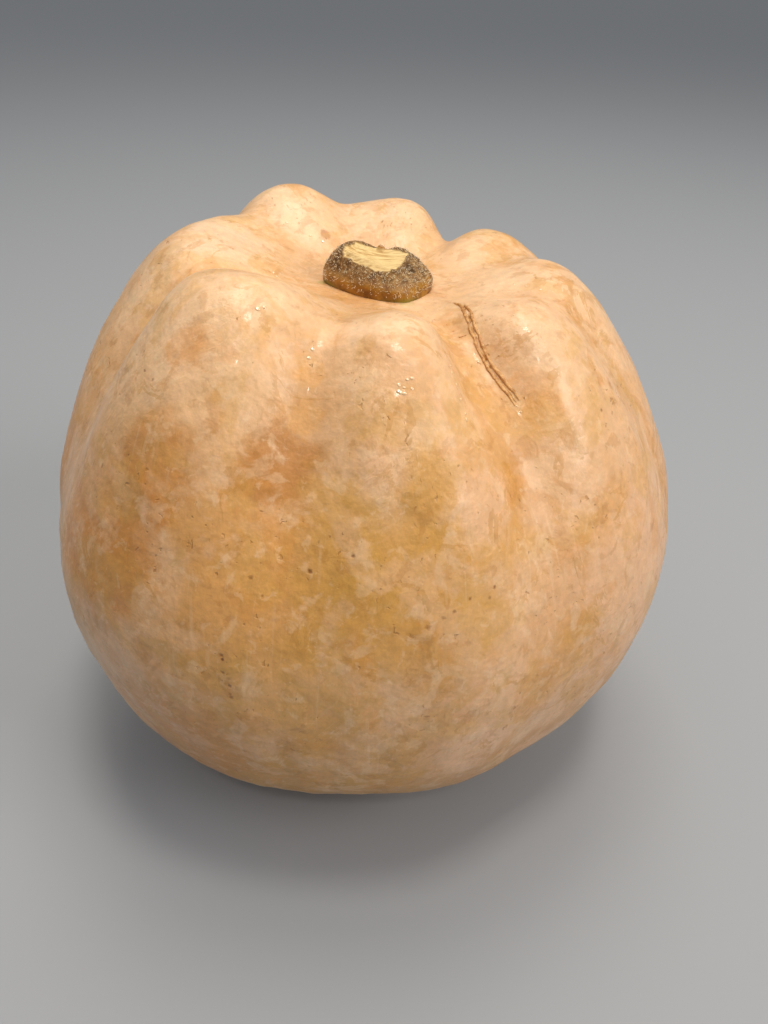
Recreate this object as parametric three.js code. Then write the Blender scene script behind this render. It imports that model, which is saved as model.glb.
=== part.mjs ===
// A round, ribbed winter squash with the stub of its cut stem, standing on the blossom end.
// Millimetres, +Z up. The origin is the centre of the flat foot that the squash rests on.
import * as THREE from 'three';

// ---- Fruit, overall ----
const BELLY_RADIUS = 95;      // widest belt, for a lobe of no extra girth
const BELLY_HEIGHT = 83;      // height of that belt above the foot
const CROWN_RADIUS = 49;      // ring of lobe crowns around the stem hollow
const CROWN_HEIGHT = 160;     // height of that ring, for a lobe of no extra girth
const FOOT_RADIUS = 18;       // flat foot at the blossom end
const SHOULDER_POWER = 1.53;  // superellipse power between crown and belt: 2 is round, 1 is a cone
const FLANK_POWER = 2.1;      // the same between belt and foot
const LEAN = new THREE.Vector2(-6, -3.4);  // how far the crown stands off the foot's centre

// ---- Fruit, lobes ----
// Each entry is the groove at the start of a lobe, counter-clockwise, and that lobe's extra girth.
//   at: direction of the groove beside the stem, degrees from +X
//   twist: degrees that the groove drifts on its way from the stem to the foot
//   depth: depth of the groove where it is deepest
//   fade: share of the way from the stem to the foot where the groove has become shallow
//   girth: how much further out the lobe stands than the mean at the belt
const LOBES = [
  { at: 23, twist: -2, depth: 3, fade: 0.55, girth: -6 },
  { at: 63, twist: 20, depth: 16.5, fade: 0.55, girth: 0 },
  { at: 105, twist: 7, depth: 5.5, fade: 0.55, girth: 5 },
  { at: 142, twist: 8, depth: 5, fade: 0.53, girth: 1 },
  { at: 207, twist: 3, depth: 13, fade: 0.5, girth: 7.5 },
  { at: 259, twist: -2, depth: 7.5, fade: 0.64, girth: -0.5 },
  { at: 299, twist: 4, depth: 17.5, fade: 0.45, girth: -5 },
  { at: 340, twist: 0, depth: 3.5, fade: 0.55, girth: -6.5 },
];
const GROOVE_SOFTNESS = 0.16;   // how rounded a groove's floor is: 0 is a crease
const GROOVE_REMAINS = 0.16;    // share of a groove's depth that is left below its fade
const GROOVE_SINKS = 0.65;      // share of a groove's cut that also lowers the crown there
const GROOVE_DEEPEST = 0.22;    // way from the stem where the grooves start to fade
const GROOVE_END = 0.07;        // way over which the grooves run out before the foot
const TWIST_PIVOT = 0.2;        // way from the stem where a groove has its stated direction
const GIRTH_RAISES = 0.93;      // how much a stout lobe also stands higher
const MOUND_POWER = 1.5;        // how soon a lobe rises beside the stem: below 1, it rises at once
const LIFT_EASE = 25;           // height above the belt over which raising and sinking set in

// ---- Stem ----
const STEM_REACH = 15;          // from the stem's axis to its furthest corner on the left
const STEM_HEIGHT = 9;          // from the seat to the highest corner of the cut rim
const STEM_COLLAR = 2;          // power of the flank: above 1, the stem rises steeply, then closes in
const STEM_DISH = 1.2;          // how far the middle of the cut face lies below its rim
// Corners of the base and of the cut rim, counter-clockwise from the left. x and y are shares of
// STEM_REACH from the axis, and a rim corner's third number is its share of STEM_HEIGHT.
const STEM_BASE = [
  [-1, 0.07], [-0.5, -0.57], [0.43, -0.99], [0.83, -0.57],
  [0.97, 0.03], [0.6, 0.7], [-0.07, 0.83], [-0.7, 0.63],
];
const STEM_RIM = [
  [-0.63, 0.04, 0.97], [-0.28, -0.32, 0.88], [0.33, -0.6, 0.71], [0.55, -0.31, 0.67],
  [0.59, 0.15, 0.78], [0.39, 0.4, 0.84], [0.03, 0.47, 0.8], [-0.44, 0.36, 1],
];

// ---- Seating ----
const SEAT_SINK = 11;           // depth of the stem's seat below the crown ring
const SEAT_MARGIN = 0.6;        // flat seat left around the stem's widest corner
const STEM_CLEARANCE = 0.3;     // between the seat and the stem's underside

// ---- Mesh fineness ----
const COLUMNS_PER_LOBE = 12;
const STEM_COLUMNS = 40;
const STEM_FLANK_ROWS = 7;
const STEM_CUT_ROWS = 4;

// Zones of the fruit's profile as shares of the way from the stem's axis to the foot's centre,
// each with its rows of facets. spans is how many stretches of the smooth curve it has.
const ZONES = {
  seat: { from: 0, to: 0.06, rows: 2 },
  hollow: { from: 0.06, to: 0.18, rows: 6, spans: 2 },
  shoulder: { from: 0.18, to: 0.52, rows: 14, spans: 4 },
  flank: { from: 0.52, to: 0.92, rows: 15, spans: 4 },
  foot: { from: 0.92, to: 1, rows: 2 },
};

const { cos, sin, PI } = Math;
const { clamp, smoothstep, lerp, degToRad, euclideanModulo } = THREE.MathUtils;

const ease = (share) => 0.5 - 0.5 * cos(PI * share);
const mound = (share) => sin(share * PI / 2) ** MOUND_POWER;
const shareIn = (zone, way) => (way - zone.from) / (zone.to - zone.from);

const furthestCorner = Math.max(...STEM_BASE.map(([x, y]) => Math.hypot(x, y)));
const seatRadius = STEM_REACH * furthestCorner + SEAT_MARGIN;
const seatHeight = CROWN_HEIGHT - SEAT_SINK;

/**
 * Knots of the fruit's mean profile, from the seat's edge to the foot's edge, as radius and height.
 * Shoulder and flank bulge as superellipses, and one smooth curve then runs through the knots.
 */
function profileKnots() {
  const knots = [[seatRadius, seatHeight]];
  for (let turn = 1; turn <= ZONES.hollow.spans; turn += 1) {
    const share = turn / ZONES.hollow.spans;
    knots.push([lerp(seatRadius, CROWN_RADIUS, share), seatHeight + SEAT_SINK * mound(share)]);
  }
  for (let turn = 1; turn <= ZONES.shoulder.spans; turn += 1) {
    const { out, down } = superellipse(turn / ZONES.shoulder.spans, SHOULDER_POWER);
    knots.push([lerp(CROWN_RADIUS, BELLY_RADIUS, out), lerp(BELLY_HEIGHT, CROWN_HEIGHT, down)]);
  }
  for (let turn = 1; turn <= ZONES.flank.spans; turn += 1) {
    const { out, down } = superellipse(turn / ZONES.flank.spans, FLANK_POWER);
    knots.push([lerp(FOOT_RADIUS, BELLY_RADIUS, down), BELLY_HEIGHT * (1 - out)]);
  }
  return knots;
}

/** A quarter of a superellipse: out grows from 0 to 1 while down falls from 1 to 0. */
function superellipse(share, power) {
  const turn = share * PI / 2;
  return { out: sin(turn) ** (2 / power), down: Math.max(cos(turn), 0) ** (2 / power) };
}

/** Slope of the profile at each knot: level at both ends, so that it meets seat and foot flat. */
function profileSlopes(knots) {
  return knots.map((knot, index) => {
    const before = knots[index - 1];
    const after = knots[index + 1];
    if (!before) return [after[0] - knot[0], 0];
    if (!after) return [knot[0] - before[0], 0];
    return [(after[0] - before[0]) / 2, (after[1] - before[1]) / 2];
  });
}

const knots = profileKnots();
const slopes = profileSlopes(knots);

/** One coordinate of the profile between two knots, as a cubic with the slopes given there. */
function between(index, share, axis) {
  const start = knots[index][axis];
  const end = knots[index + 1][axis];
  const bend = (share ** 3 - 2 * share ** 2 + share) * slopes[index][axis];
  const bendEnd = (share ** 3 - share ** 2) * slopes[index + 1][axis];
  return lerp(start, end, share ** 2 * (3 - 2 * share)) + bend + bendEnd;
}

/** Radius and height of the fruit's mean profile at a given way from stem to foot. */
function profileAt(way) {
  if (way <= ZONES.seat.to) {
    return { radius: seatRadius * shareIn(ZONES.seat, way), height: seatHeight };
  }
  if (way >= ZONES.foot.from) {
    return { radius: FOOT_RADIUS * (1 - shareIn(ZONES.foot, way)), height: 0 };
  }
  let first = 0;
  let zone = ZONES.hollow;
  for (const later of [ZONES.shoulder, ZONES.flank]) {
    if (way > later.from) {
      first += zone.spans;
      zone = later;
    }
  }
  const along = shareIn(zone, way) * zone.spans;
  const span = Math.min(Math.floor(along), zone.spans - 1);
  return {
    radius: between(first + span, along - span, 0),
    height: between(first + span, along - span, 1),
  };
}

/** Depth of one lobe's first groove at a given way from stem to foot. */
function grooveDepth(lobe, way) {
  const faded = smoothstep(way, GROOVE_DEEPEST, lobe.fade);
  return lobe.depth * lerp(1, GROOVE_REMAINS, faded);
}

/** Lobes and grooves rise together out of the hollow, so a groove's floor stays near the seat. */
function lobeRise(way) {
  return mound(clamp(shareIn(ZONES.hollow, way), 0, 1));
}

/** Grooves run out at the seat and at the foot, so that both stay round and flat. */
function grooveOpening(way) {
  return lobeRise(way) * (1 - smoothstep(way, ZONES.foot.from - GROOVE_END, ZONES.foot.from));
}

/** The lobe that a lobe coordinate falls in, the next one, and the share of the way across. */
function neighbours(across) {
  const index = Math.floor(across);
  const lobe = LOBES[euclideanModulo(index, LOBES.length)];
  const next = LOBES[euclideanModulo(index + 1, LOBES.length)];
  return { lobe, next, share: across - index };
}

/** Direction in radians of a lobe coordinate, which follows the grooves as they drift. */
function directionAt(across, way) {
  const { lobe, next, share } = neighbours(across);
  const span = euclideanModulo(next.at - lobe.at, 360);
  const twist = lerp(lobe.twist, next.twist, ease(share));
  return degToRad(lobe.at + span * share + twist * (way - TWIST_PIVOT));
}

/** How much of the radius the nearest grooves take away. */
function grooveCut(across, way) {
  const { lobe, next, share } = neighbours(across);
  const depth = lerp(grooveDepth(lobe, way), grooveDepth(next, way), smoothstep(share, 0, 1));
  const ridge = Math.hypot(sin(PI * share), GROOVE_SOFTNESS) / Math.hypot(1, GROOVE_SOFTNESS);
  return (1 - ridge) * depth * grooveOpening(way) / BELLY_RADIUS;
}

/** How much the radius gains from the girth of the lobes, which peaks in mid-lobe. */
function girthGain(across, way) {
  const { lobe, next, share } = neighbours(across - 0.5);
  const girth = lerp(lobe.girth, next.girth, ease(share));
  return girth * lobeRise(way) / BELLY_RADIUS;
}

/** A point of the fruit's skin. across counts lobes around it; way runs from stem to foot. */
function skinPoint(across, way) {
  const { radius, height } = profileAt(way);
  const cut = grooveCut(across, way);
  const gain = girthGain(across, way);
  const reach = radius * (1 + gain) * (1 - cut);
  const above = (height - BELLY_HEIGHT) * smoothstep(height, BELLY_HEIGHT, BELLY_HEIGHT + LIFT_EASE);
  const z = height + above * ((1 - cut * GROOVE_SINKS) * (1 + gain * GIRTH_RAISES) - 1);
  const angle = directionAt(across, way);
  const lean = LEAN.clone().multiplyScalar(z / CROWN_HEIGHT);
  return new THREE.Vector3(reach * cos(angle) + lean.x, reach * sin(angle) + lean.y, z);
}

/**
 * One closed body from rings of points. The first and last rings are single points, and the
 * rings run so that each one, seen from the first pole, turns counter-clockwise.
 */
function ringBody(rings) {
  const positions = rings.flat().flatMap((point) => point.toArray());
  const starts = [];
  rings.reduce((start, ring) => (starts.push(start), start + ring.length), 0);
  const triangles = [];
  for (let row = 0; row < rings.length - 1; row += 1) {
    const count = Math.max(rings[row].length, rings[row + 1].length);
    const upper = (column) => starts[row] + column % rings[row].length;
    const lower = (column) => starts[row + 1] + column % rings[row + 1].length;
    for (let column = 0; column < count; column += 1) {
      if (rings[row + 1].length > 1) {
        triangles.push(upper(column), lower(column), lower(column + 1));
      }
      if (rings[row].length > 1) {
        triangles.push(upper(column), lower(column + 1), upper(column + 1));
      }
    }
  }
  const geometry = new THREE.BufferGeometry();
  geometry.setAttribute('position', new THREE.Float32BufferAttribute(positions, 3));
  geometry.setIndex(triangles);
  geometry.computeVertexNormals();
  return geometry;
}

function fruitGeometry() {
  const columns = LOBES.length * COLUMNS_PER_LOBE;
  const ring = (way) => Array.from(
    { length: columns },
    (_, column) => skinPoint(column / COLUMNS_PER_LOBE, way),
  );
  const rings = [[skinPoint(0, 0)]];
  for (const zone of Object.values(ZONES)) {
    for (let row = 1; row <= zone.rows; row += 1) {
      const way = lerp(zone.from, zone.to, row / zone.rows);
      rings.push(way < 1 ? ring(way) : [skinPoint(0, 1)]);
    }
  }
  return ringBody(rings);
}

/** Points around a closed, smooth outline of the stem through the given corners. */
function outline(corners) {
  const size = new THREE.Vector3(STEM_REACH, STEM_REACH, STEM_HEIGHT);
  const points = corners.map(([x, y, z = 0]) => new THREE.Vector3(x, y, z).multiply(size));
  const curve = new THREE.CatmullRomCurve3(points, true, 'centripetal');
  return Array.from({ length: STEM_COLUMNS }, (_, column) => curve.getPoint(column / STEM_COLUMNS));
}

/** The stem about its own axis, standing on z = 0: flat underside, flared flank, dished cut face. */
function stemGeometry() {
  const base = outline(STEM_BASE);
  const rim = outline(STEM_RIM);
  const middle = new THREE.Vector3();
  rim.forEach((point) => middle.addScaledVector(point, 1 / rim.length));
  middle.z -= STEM_DISH;

  const cutFace = (share) => rim.map((point) => {
    const onFace = middle.clone().lerp(point, share);
    onFace.z = lerp(middle.z, point.z, share ** 2);
    return onFace;
  });
  const flank = (share) => base.map((foot, column) => {
    const onFlank = foot.clone().lerp(rim[column], share ** STEM_COLLAR);
    onFlank.z = rim[column].z * share;
    return onFlank;
  });

  const rings = [[middle]];
  for (let row = 1; row < STEM_CUT_ROWS; row += 1) rings.push(cutFace(row / STEM_CUT_ROWS));
  for (let row = STEM_FLANK_ROWS; row >= 0; row -= 1) rings.push(flank(row / STEM_FLANK_ROWS));
  rings.push([new THREE.Vector3(0, 0, 0)]);
  return ringBody(rings);
}

const skin = new THREE.MeshStandardMaterial({ color: 0xd9a66b, roughness: 0.45, metalness: 0 });
const bark = new THREE.MeshStandardMaterial({ color: 0x7a5a34, roughness: 0.8, metalness: 0 });

const fruit = new THREE.Mesh(fruitGeometry(), skin);
fruit.name = 'fruit';

const stem = new THREE.Mesh(stemGeometry(), bark);
stem.name = 'stem';
const seatCentre = skinPoint(0, 0);
stem.position.set(seatCentre.x, seatCentre.y, seatCentre.z + STEM_CLEARANCE);

const squash = new THREE.Group();
squash.add(fruit, stem);

export default squash;
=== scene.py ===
"""A round, ribbed winter squash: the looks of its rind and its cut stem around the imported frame.

Metres, +Z up, in the frame's own axes. The fruit and the stem are refined from their CAD solids,
which fixes their size and place, and then shaped, marked and coloured as the grown thing is.
"""
import logging
import math
import random
from dataclasses import dataclass
from enum import Enum

import bpy
import numpy as np
from mathutils import Matrix, Vector, noise
from mathutils.bvhtree import BVHTree


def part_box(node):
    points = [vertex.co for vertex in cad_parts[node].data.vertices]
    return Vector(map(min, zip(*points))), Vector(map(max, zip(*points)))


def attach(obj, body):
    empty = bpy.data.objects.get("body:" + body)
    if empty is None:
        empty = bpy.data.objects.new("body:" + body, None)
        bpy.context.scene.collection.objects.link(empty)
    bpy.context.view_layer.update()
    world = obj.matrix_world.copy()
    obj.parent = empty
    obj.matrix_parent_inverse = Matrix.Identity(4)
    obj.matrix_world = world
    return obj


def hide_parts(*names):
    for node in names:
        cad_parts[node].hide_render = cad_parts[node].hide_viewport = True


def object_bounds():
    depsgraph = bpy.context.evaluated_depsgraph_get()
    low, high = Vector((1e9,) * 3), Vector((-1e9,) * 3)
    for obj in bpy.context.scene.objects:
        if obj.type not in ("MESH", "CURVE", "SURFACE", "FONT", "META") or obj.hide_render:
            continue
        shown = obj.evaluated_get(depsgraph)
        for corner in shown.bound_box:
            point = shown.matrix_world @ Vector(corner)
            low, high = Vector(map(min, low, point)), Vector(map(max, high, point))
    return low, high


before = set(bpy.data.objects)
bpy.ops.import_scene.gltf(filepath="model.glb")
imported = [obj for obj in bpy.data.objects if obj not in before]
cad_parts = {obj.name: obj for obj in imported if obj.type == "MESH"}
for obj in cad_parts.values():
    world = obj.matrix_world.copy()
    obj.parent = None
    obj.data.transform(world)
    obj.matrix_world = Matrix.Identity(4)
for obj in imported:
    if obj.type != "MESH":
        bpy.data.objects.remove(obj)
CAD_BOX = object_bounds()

log = logging.getLogger("squash")
MM = 0.001

Socket = bpy.types.NodeSocket
Tree = bpy.types.NodeTree
Point = tuple[float, float]
Colour = Socket | str  # what a node gives, or an sRGB hex colour


# ---------------------------------------------------------------- small helpers

def linear(hex_colour: str) -> tuple[float, float, float, float]:
    """Turn an sRGB hex colour to the linear one that shaders use.

    Args:
        hex_colour: colour as "#rrggbb".

    Returns:
        Linear red, green and blue, and alpha 1.
    """
    channels = [int(hex_colour[i:i + 2], 16) / 255 for i in (1, 3, 5)]
    turned = [c / 12.92 if c <= 0.04045 else ((c + 0.055) / 1.055) ** 2.4 for c in channels]
    return (*turned, 1.0)


def per_mm(size: float) -> float:
    """Texture scale whose features are about the given size in millimetres."""
    return 1 / (size * MM)


def set_values(node: bpy.types.Node, values: dict) -> None:
    """Fill a node's input sockets.

    Args:
        node: the node to fill.
        values: socket name or index to a value, to an sRGB hex colour, or to an output socket to link.
    """
    for socket, value in values.items():
        if isinstance(value, Socket):
            node.id_data.links.new(value, node.inputs[socket])
        else:
            node.inputs[socket].default_value = linear(value) if isinstance(value, str) else value


def add_node(tree: Tree, kind: str, values: dict | None = None, **settings) -> bpy.types.Node:
    """Add a shader node with its settings, values and links.

    Args:
        tree: node tree to add to.
        kind: node type without the "ShaderNode" prefix.
        values: what set_values puts in its sockets.
        settings: properties of the node itself.

    Returns:
        The new node.
    """
    node = tree.nodes.new("ShaderNode" + kind)
    for name, value in settings.items():
        setattr(node, name, value)
    set_values(node, values or {})
    return node


def new_material(name: str) -> tuple[bpy.types.Material, bpy.types.Node]:
    """Make a material with only a Principled shader.

    Args:
        name: the material's name.

    Returns:
        The material and its Principled node.
    """
    material = bpy.data.materials.new(name)
    material.use_nodes = True
    return material, material.node_tree.nodes["Principled BSDF"]


def select_only(*objects: bpy.types.Object) -> None:
    """Deselect everything, then select these objects and make the first one active.

    Args:
        objects: the objects to select.
    """
    if bpy.context.mode != "OBJECT":
        bpy.ops.object.mode_set(mode="OBJECT")
    bpy.ops.object.select_all(action="DESELECT")
    for item in objects:
        item.select_set(True)
    bpy.context.view_layer.objects.active = objects[0]


def copy_of_node(node_name: str, name: str) -> bpy.types.Object:
    """Copy a CAD node and merge its loose triangles into one closed quad mesh.

    Args:
        node_name: the CAD node to copy.
        name: name for the copy.

    Returns:
        The copy, with its own mesh.
    """
    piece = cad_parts[node_name].copy()
    piece.data = piece.data.copy()
    piece.name = name
    piece.data.name = name
    piece.hide_render = False
    piece.parent = None
    bpy.context.scene.collection.objects.link(piece)
    select_only(piece)
    piece.data.materials.clear()
    bpy.ops.object.mode_set(mode="EDIT")
    bpy.ops.mesh.select_all(action="SELECT")
    bpy.ops.mesh.remove_doubles(threshold=0.01 * MM)
    bpy.ops.mesh.tris_convert_to_quads(face_threshold=math.radians(60), shape_threshold=math.radians(60))
    bpy.ops.object.mode_set(mode="OBJECT")
    return piece


def subdivide(piece: bpy.types.Object, levels: int) -> None:
    """Refine a piece's mesh with a Subdivision Surface modifier and apply it.

    Args:
        piece: the piece to refine.
        levels: how many times each face is divided.
    """
    select_only(piece)
    modifier = piece.modifiers.new("refine", "SUBSURF")
    modifier.levels = levels
    modifier.render_levels = levels
    bpy.ops.object.modifier_apply(modifier=modifier.name)


def vertex_places(mesh: bpy.types.Mesh) -> np.ndarray:
    """Read the vertex places of a mesh.

    Args:
        mesh: the mesh to read.

    Returns:
        A row of x, y, z for each vertex, in metres.
    """
    places = np.empty(len(mesh.vertices) * 3)
    mesh.vertices.foreach_get("co", places)
    return places.reshape(-1, 3)


def vertex_normals(mesh: bpy.types.Mesh) -> np.ndarray:
    """Read the vertex normals of a mesh.

    Args:
        mesh: the mesh to read.

    Returns:
        A row of x, y, z for each vertex.
    """
    normals = np.empty(len(mesh.vertices) * 3)
    mesh.vertices.foreach_get("normal", normals)
    return normals.reshape(-1, 3)


def set_places(mesh: bpy.types.Mesh, places: np.ndarray) -> None:
    """Write vertex places back to a mesh."""
    mesh.vertices.foreach_set("co", places.ravel())
    mesh.update()


def set_attribute(mesh: bpy.types.Mesh, name: str, values: np.ndarray) -> None:
    """Store a number or a vector at each vertex for a material to read.

    Args:
        mesh: the mesh to store it in.
        name: the attribute's name.
        values: a number, or a row of three, for each vertex.
    """
    if values.ndim == 1:
        layer = mesh.attributes.new(name, "FLOAT", "POINT")
        layer.data.foreach_set("value", values)
    else:
        layer = mesh.attributes.new(name, "FLOAT_VECTOR", "POINT")
        layer.data.foreach_set("vector", values.ravel())


def rise(low: float, high: float, values: np.ndarray) -> np.ndarray:
    """Smooth step from 0 at low to 1 at high."""
    share = np.clip((values - low) / (high - low), 0, 1)
    return share * share * (3 - 2 * share)


def noise_at(places: np.ndarray, size: float, octaves: int = 1, seed: float = 0) -> np.ndarray:
    """Perlin noise of each place.

    Args:
        places: rows of x, y, z in metres.
        size: size of a feature in millimetres.
        octaves: how many finer layers are added.
        seed: shift that picks another stretch of the noise.

    Returns:
        A number of about -1 to 1 for each row.
    """
    scaled = places * per_mm(size) + seed
    if octaves == 1:
        return np.array([noise.noise(Vector(p)) for p in scaled])
    return np.array([noise.fractal(Vector(p), 1.0, 2.0, octaves) for p in scaled])


def smooth_shading(piece: bpy.types.Object, angle: float = 180) -> None:
    """Shade a piece smooth except across edges sharper than the angle, in degrees."""
    select_only(piece)
    bpy.ops.object.shade_smooth_by_angle(angle=math.radians(angle))


class Seen(Enum):
    """The side that a mark's two coordinates are read from."""

    FRONT = "x and z, from -Y"
    ABOVE = "x and y, from +Z"


class Rind:
    """Finds places on the fruit's skin, for what grows or lies on it."""

    def __init__(self, piece: bpy.types.Object) -> None:
        """Read the fruit's finished mesh.

        Args:
            piece: the fruit.
        """
        mesh = piece.data
        faces = [tuple(face.vertices) for face in mesh.polygons]
        self.tree = BVHTree.FromPolygons([v.co.copy() for v in mesh.vertices], faces)

    def place(self, mark: Point, seen: Seen) -> tuple[Vector, Vector]:
        """Find the skin under a mark.

        Args:
            mark: two coordinates in millimetres.
            seen: the side they are read from.

        Returns:
            The place on the skin and the skin's normal there.
        """
        across, along = mark[0] * MM, mark[1] * MM
        if seen is Seen.FRONT:
            start, way = Vector((across, -0.5, along)), Vector((0, 1, 0))
        else:
            start, way = Vector((across, along, 0.5)), Vector((0, 0, -1))
        spot, normal, _, _ = self.tree.ray_cast(start, way)
        return spot, normal


# ---------------------------------------------------------------- finishes

def layered(tree: Tree, under: Colour, layers: list[tuple[Socket, Colour]]) -> Socket:
    """Lay colours over one another.

    Args:
        tree: node tree to add to.
        under: the lowest colour.
        layers: the share and the colour of each layer, from the lowest up.

    Returns:
        The colour that shows.
    """
    for share, over in layers:
        under = add_node(tree, "Mix", {0: share, 6: under, 7: over}, data_type="RGBA").outputs[2]
    return under


def two_tone(tree: Tree, grain: Socket, dark: str, light: str, low: float, high: float) -> Socket:
    """Spread two colours over a grain.

    Args:
        tree: node tree to add to.
        grain: noise that the colours follow.
        dark: colour at the grain's low value and below.
        light: colour at its high value and above.
        low: the grain's low value.
        high: the grain's high value.

    Returns:
        The colour.
    """
    share = add_node(tree, "MapRange", {"Value": grain, "From Min": low, "From Max": high})
    return layered(tree, dark, [(share.outputs[0], light)])


@dataclass(frozen=True)
class Patches:
    """Ragged patches drawn by noise.

    size is in millimetres. low and high are the noise values where a patch starts and where it is
    full, and most is the share of colour in a full patch. detail is the octaves that tear the edges,
    seed a shift to another stretch of the noise in metres, and a squeeze below 1 draws patches out
    upwards.
    """

    size: float
    low: float
    high: float
    most: float = 1.0
    detail: float = 6.0
    seed: float = 0.0
    squeeze: float = 1.0

    def share(self, tree: Tree, place: Socket) -> Socket:
        """Add the patches' nodes.

        Args:
            tree: node tree to add to.
            place: coordinates in metres.

        Returns:
            The share of colour.
        """
        moved = add_node(tree, "Mapping", {
            "Vector": place, "Location": (self.seed, self.seed * 0.7, self.seed * 0.3),
            "Scale": (1, 1, self.squeeze),
        })
        cloud = add_node(tree, "TexNoise", {
            "Vector": moved.outputs[0], "Scale": per_mm(self.size), "Detail": self.detail,
            "Roughness": 0.6, "Distortion": 0.5,
        })
        return add_node(tree, "MapRange", {
            "Value": cloud.outputs["Fac"], "From Min": self.low, "From Max": self.high,
            "To Max": self.most,
        }, interpolation_type="SMOOTHSTEP").outputs[0]


@dataclass(frozen=True)
class TornEdge:
    """How a placed spot ends. tear, full and gone are in radii of the spot.

    tear is how far noise moves the edge, and the spot fades between full and gone.
    """

    tear: float
    full: float
    gone: float
    fading: str

    def share(self, tree: Tree, place: Socket, spot: Vector, radius: float, strength: float,
              grain: Socket) -> Socket:
        """Add one spot's nodes.

        Args:
            tree: node tree to add to.
            place: coordinates in metres.
            spot: the spot's middle, in metres.
            radius: its radius, in metres.
            strength: share of its colour in the middle.
            grain: noise that tears the edge.

        Returns:
            The share of colour.
        """
        away = add_node(tree, "VectorMath", {0: place, 1: spot}, operation="DISTANCE")
        torn = add_node(tree, "Math", {
            0: grain, 1: self.tear * radius, 2: away.outputs["Value"],
        }, operation="MULTIPLY_ADD")
        return add_node(tree, "MapRange", {
            "Value": torn.outputs[0], "From Min": self.full * radius, "From Max": self.gone * radius,
            "To Min": strength, "To Max": 0.0,
        }, interpolation_type=self.fading).outputs[0]


@dataclass(frozen=True)
class Cloud:
    """A cloud of colour on the rind: its middle and radius in millimetres, and how much of it shows."""

    at: Point
    radius: float
    strength: float
    colour: str
    seen: Seen = Seen.FRONT


ORANGE, GOLD, OCHRE, RUST = "#d2893a", "#d7a04c", "#e2a455", "#c28341"
BLOOM, CREAM, BLUSH = "#efc096", "#f6d2a9", "#f6d9bb"
GREEN, OLIVE, BROWN = "#9a993c", "#b88a42", "#b06f35"

# Laid in this order: the flanks and the front, the crown, then three low on the front.
CLOUDS = (
    Cloud((4, 116), 34, 0.6, GOLD), Cloud((-12, 48), 40, 0.6, GOLD),
    Cloud((-66, 112), 24, 0.65, ORANGE), Cloud((-50, 60), 26, 0.55, ORANGE),
    Cloud((-18, 88), 22, 0.4, GOLD), Cloud((-23, 133), 11, 0.75, RUST),
    # The bloom cloud at (66, 95) is partly the rind's pinkish bloom, partly painted light on the right
    # flank.
    Cloud((66, 95), 34, 0.8, BLOOM), Cloud((-22, 78), 20, 0.35, OCHRE),
    Cloud((36, 104), 15, 0.5, BLOOM), Cloud((-49, 134), 13, 0.55, ORANGE),
    Cloud((20, 128), 10, 0.75, BLOOM), Cloud((-3, 135), 8, 0.6, BLOOM),
    Cloud((-44, 154), 6, 0.5, ORANGE), Cloud((22, 64), 15, 0.85, BLOOM),
    Cloud((-24, 154), 9, 0.55, OCHRE), Cloud((33, 138), 6.5, 0.4, OCHRE),
    Cloud((3.5, 130), 3, 0.4, OLIVE), Cloud((7, 127.5), 2.4, 0.4, OLIVE),
    Cloud((-8, 96), 9, 0.4, OCHRE), Cloud((-62, 84), 10, 0.5, BLOOM),
    Cloud((-72, 96), 6, 0.3, BLOOM), Cloud((-2, -50), 10, 0.6, CREAM, Seen.ABOVE),
    Cloud((-6, -40), 4.5, 0.55, OCHRE, Seen.ABOVE), Cloud((-47, -20), 12, 0.45, OCHRE, Seen.ABOVE),
    Cloud((34, -26), 13, 0.45, BLOOM, Seen.ABOVE), Cloud((-20.8, -4.4), 2, 0.6, GREEN, Seen.ABOVE),
    Cloud((2.2, -18.2), 2.4, 0.7, GREEN, Seen.ABOVE), Cloud((-22, 21), 2, 0.7, BROWN, Seen.ABOVE),
    Cloud((40, 30), 16, 0.4, OCHRE, Seen.ABOVE), Cloud((-30, 50), 18, 0.4, OCHRE, Seen.ABOVE),
    Cloud((-16, -54), 4, 0.5, OCHRE, Seen.ABOVE), Cloud((-18.5, -61), 4, 0.5, OCHRE, Seen.ABOVE),
    Cloud((-19, -67), 5, 0.45, OCHRE, Seen.ABOVE), Cloud((-49, -2), 16, 0.45, BLUSH, Seen.ABOVE),
    Cloud((28, 34), 12, 0.6, BLOOM), Cloud((40, 46), 8, 0.5, BLOOM),
    Cloud((-30, 70), 8, 0.4, BLOOM),
)
CLOUD_EDGE = TornEdge(1.5, 1.25, 1.75, "SMOOTHSTEP")
SPECK_EDGE = TornEdge(1.6, 0.9, 1.55, "LINEAR")


@dataclass(frozen=True)
class Run:
    """Small marks strewn along a line on the rind, in millimetres.

    stray is how far a mark may lie off its place on the line. radius and strength are the least and
    the most that a mark may have.
    """

    start: Point
    end: Point
    count: int
    stray: float
    radius: tuple[float, float] = (0.5, 1.0)
    strength: tuple[float, float] = (0.4, 0.75)

    def places(self, chance: random.Random) -> list[Point]:
        """Space the marks evenly along the line and let each stray.

        Args:
            chance: source of the straying.

        Returns:
            The place of each mark.
        """
        steps = [index / max(1, self.count - 1) for index in range(self.count)]
        return [tuple(
            low + (high - low) * step + chance.uniform(-self.stray, self.stray)
            for low, high in zip(self.start, self.end)
        ) for step in steps]


# Specks: a row of brown pits low on the left, freckles in the middle and on both shoulders.
SPECK_RUNS = (
    Run((-35, 97), (-35, 96), 2, 0.5, (0.8, 1.1), (0.7, 0.9)),
    Run((-35, 93), (-34, 85), 5, 0.7),
    Run((8, 105), (24, 112), 6, 1.5),
    Run((48, 135), (56, 133), 3, 0.8),
    Run((-53, 148), (-51, 147), 2, 0.3, (0.6, 0.8), (0.6, 0.9)),
    Run((-28, 113), (-8, 122), 3, 2.0),
)


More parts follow.
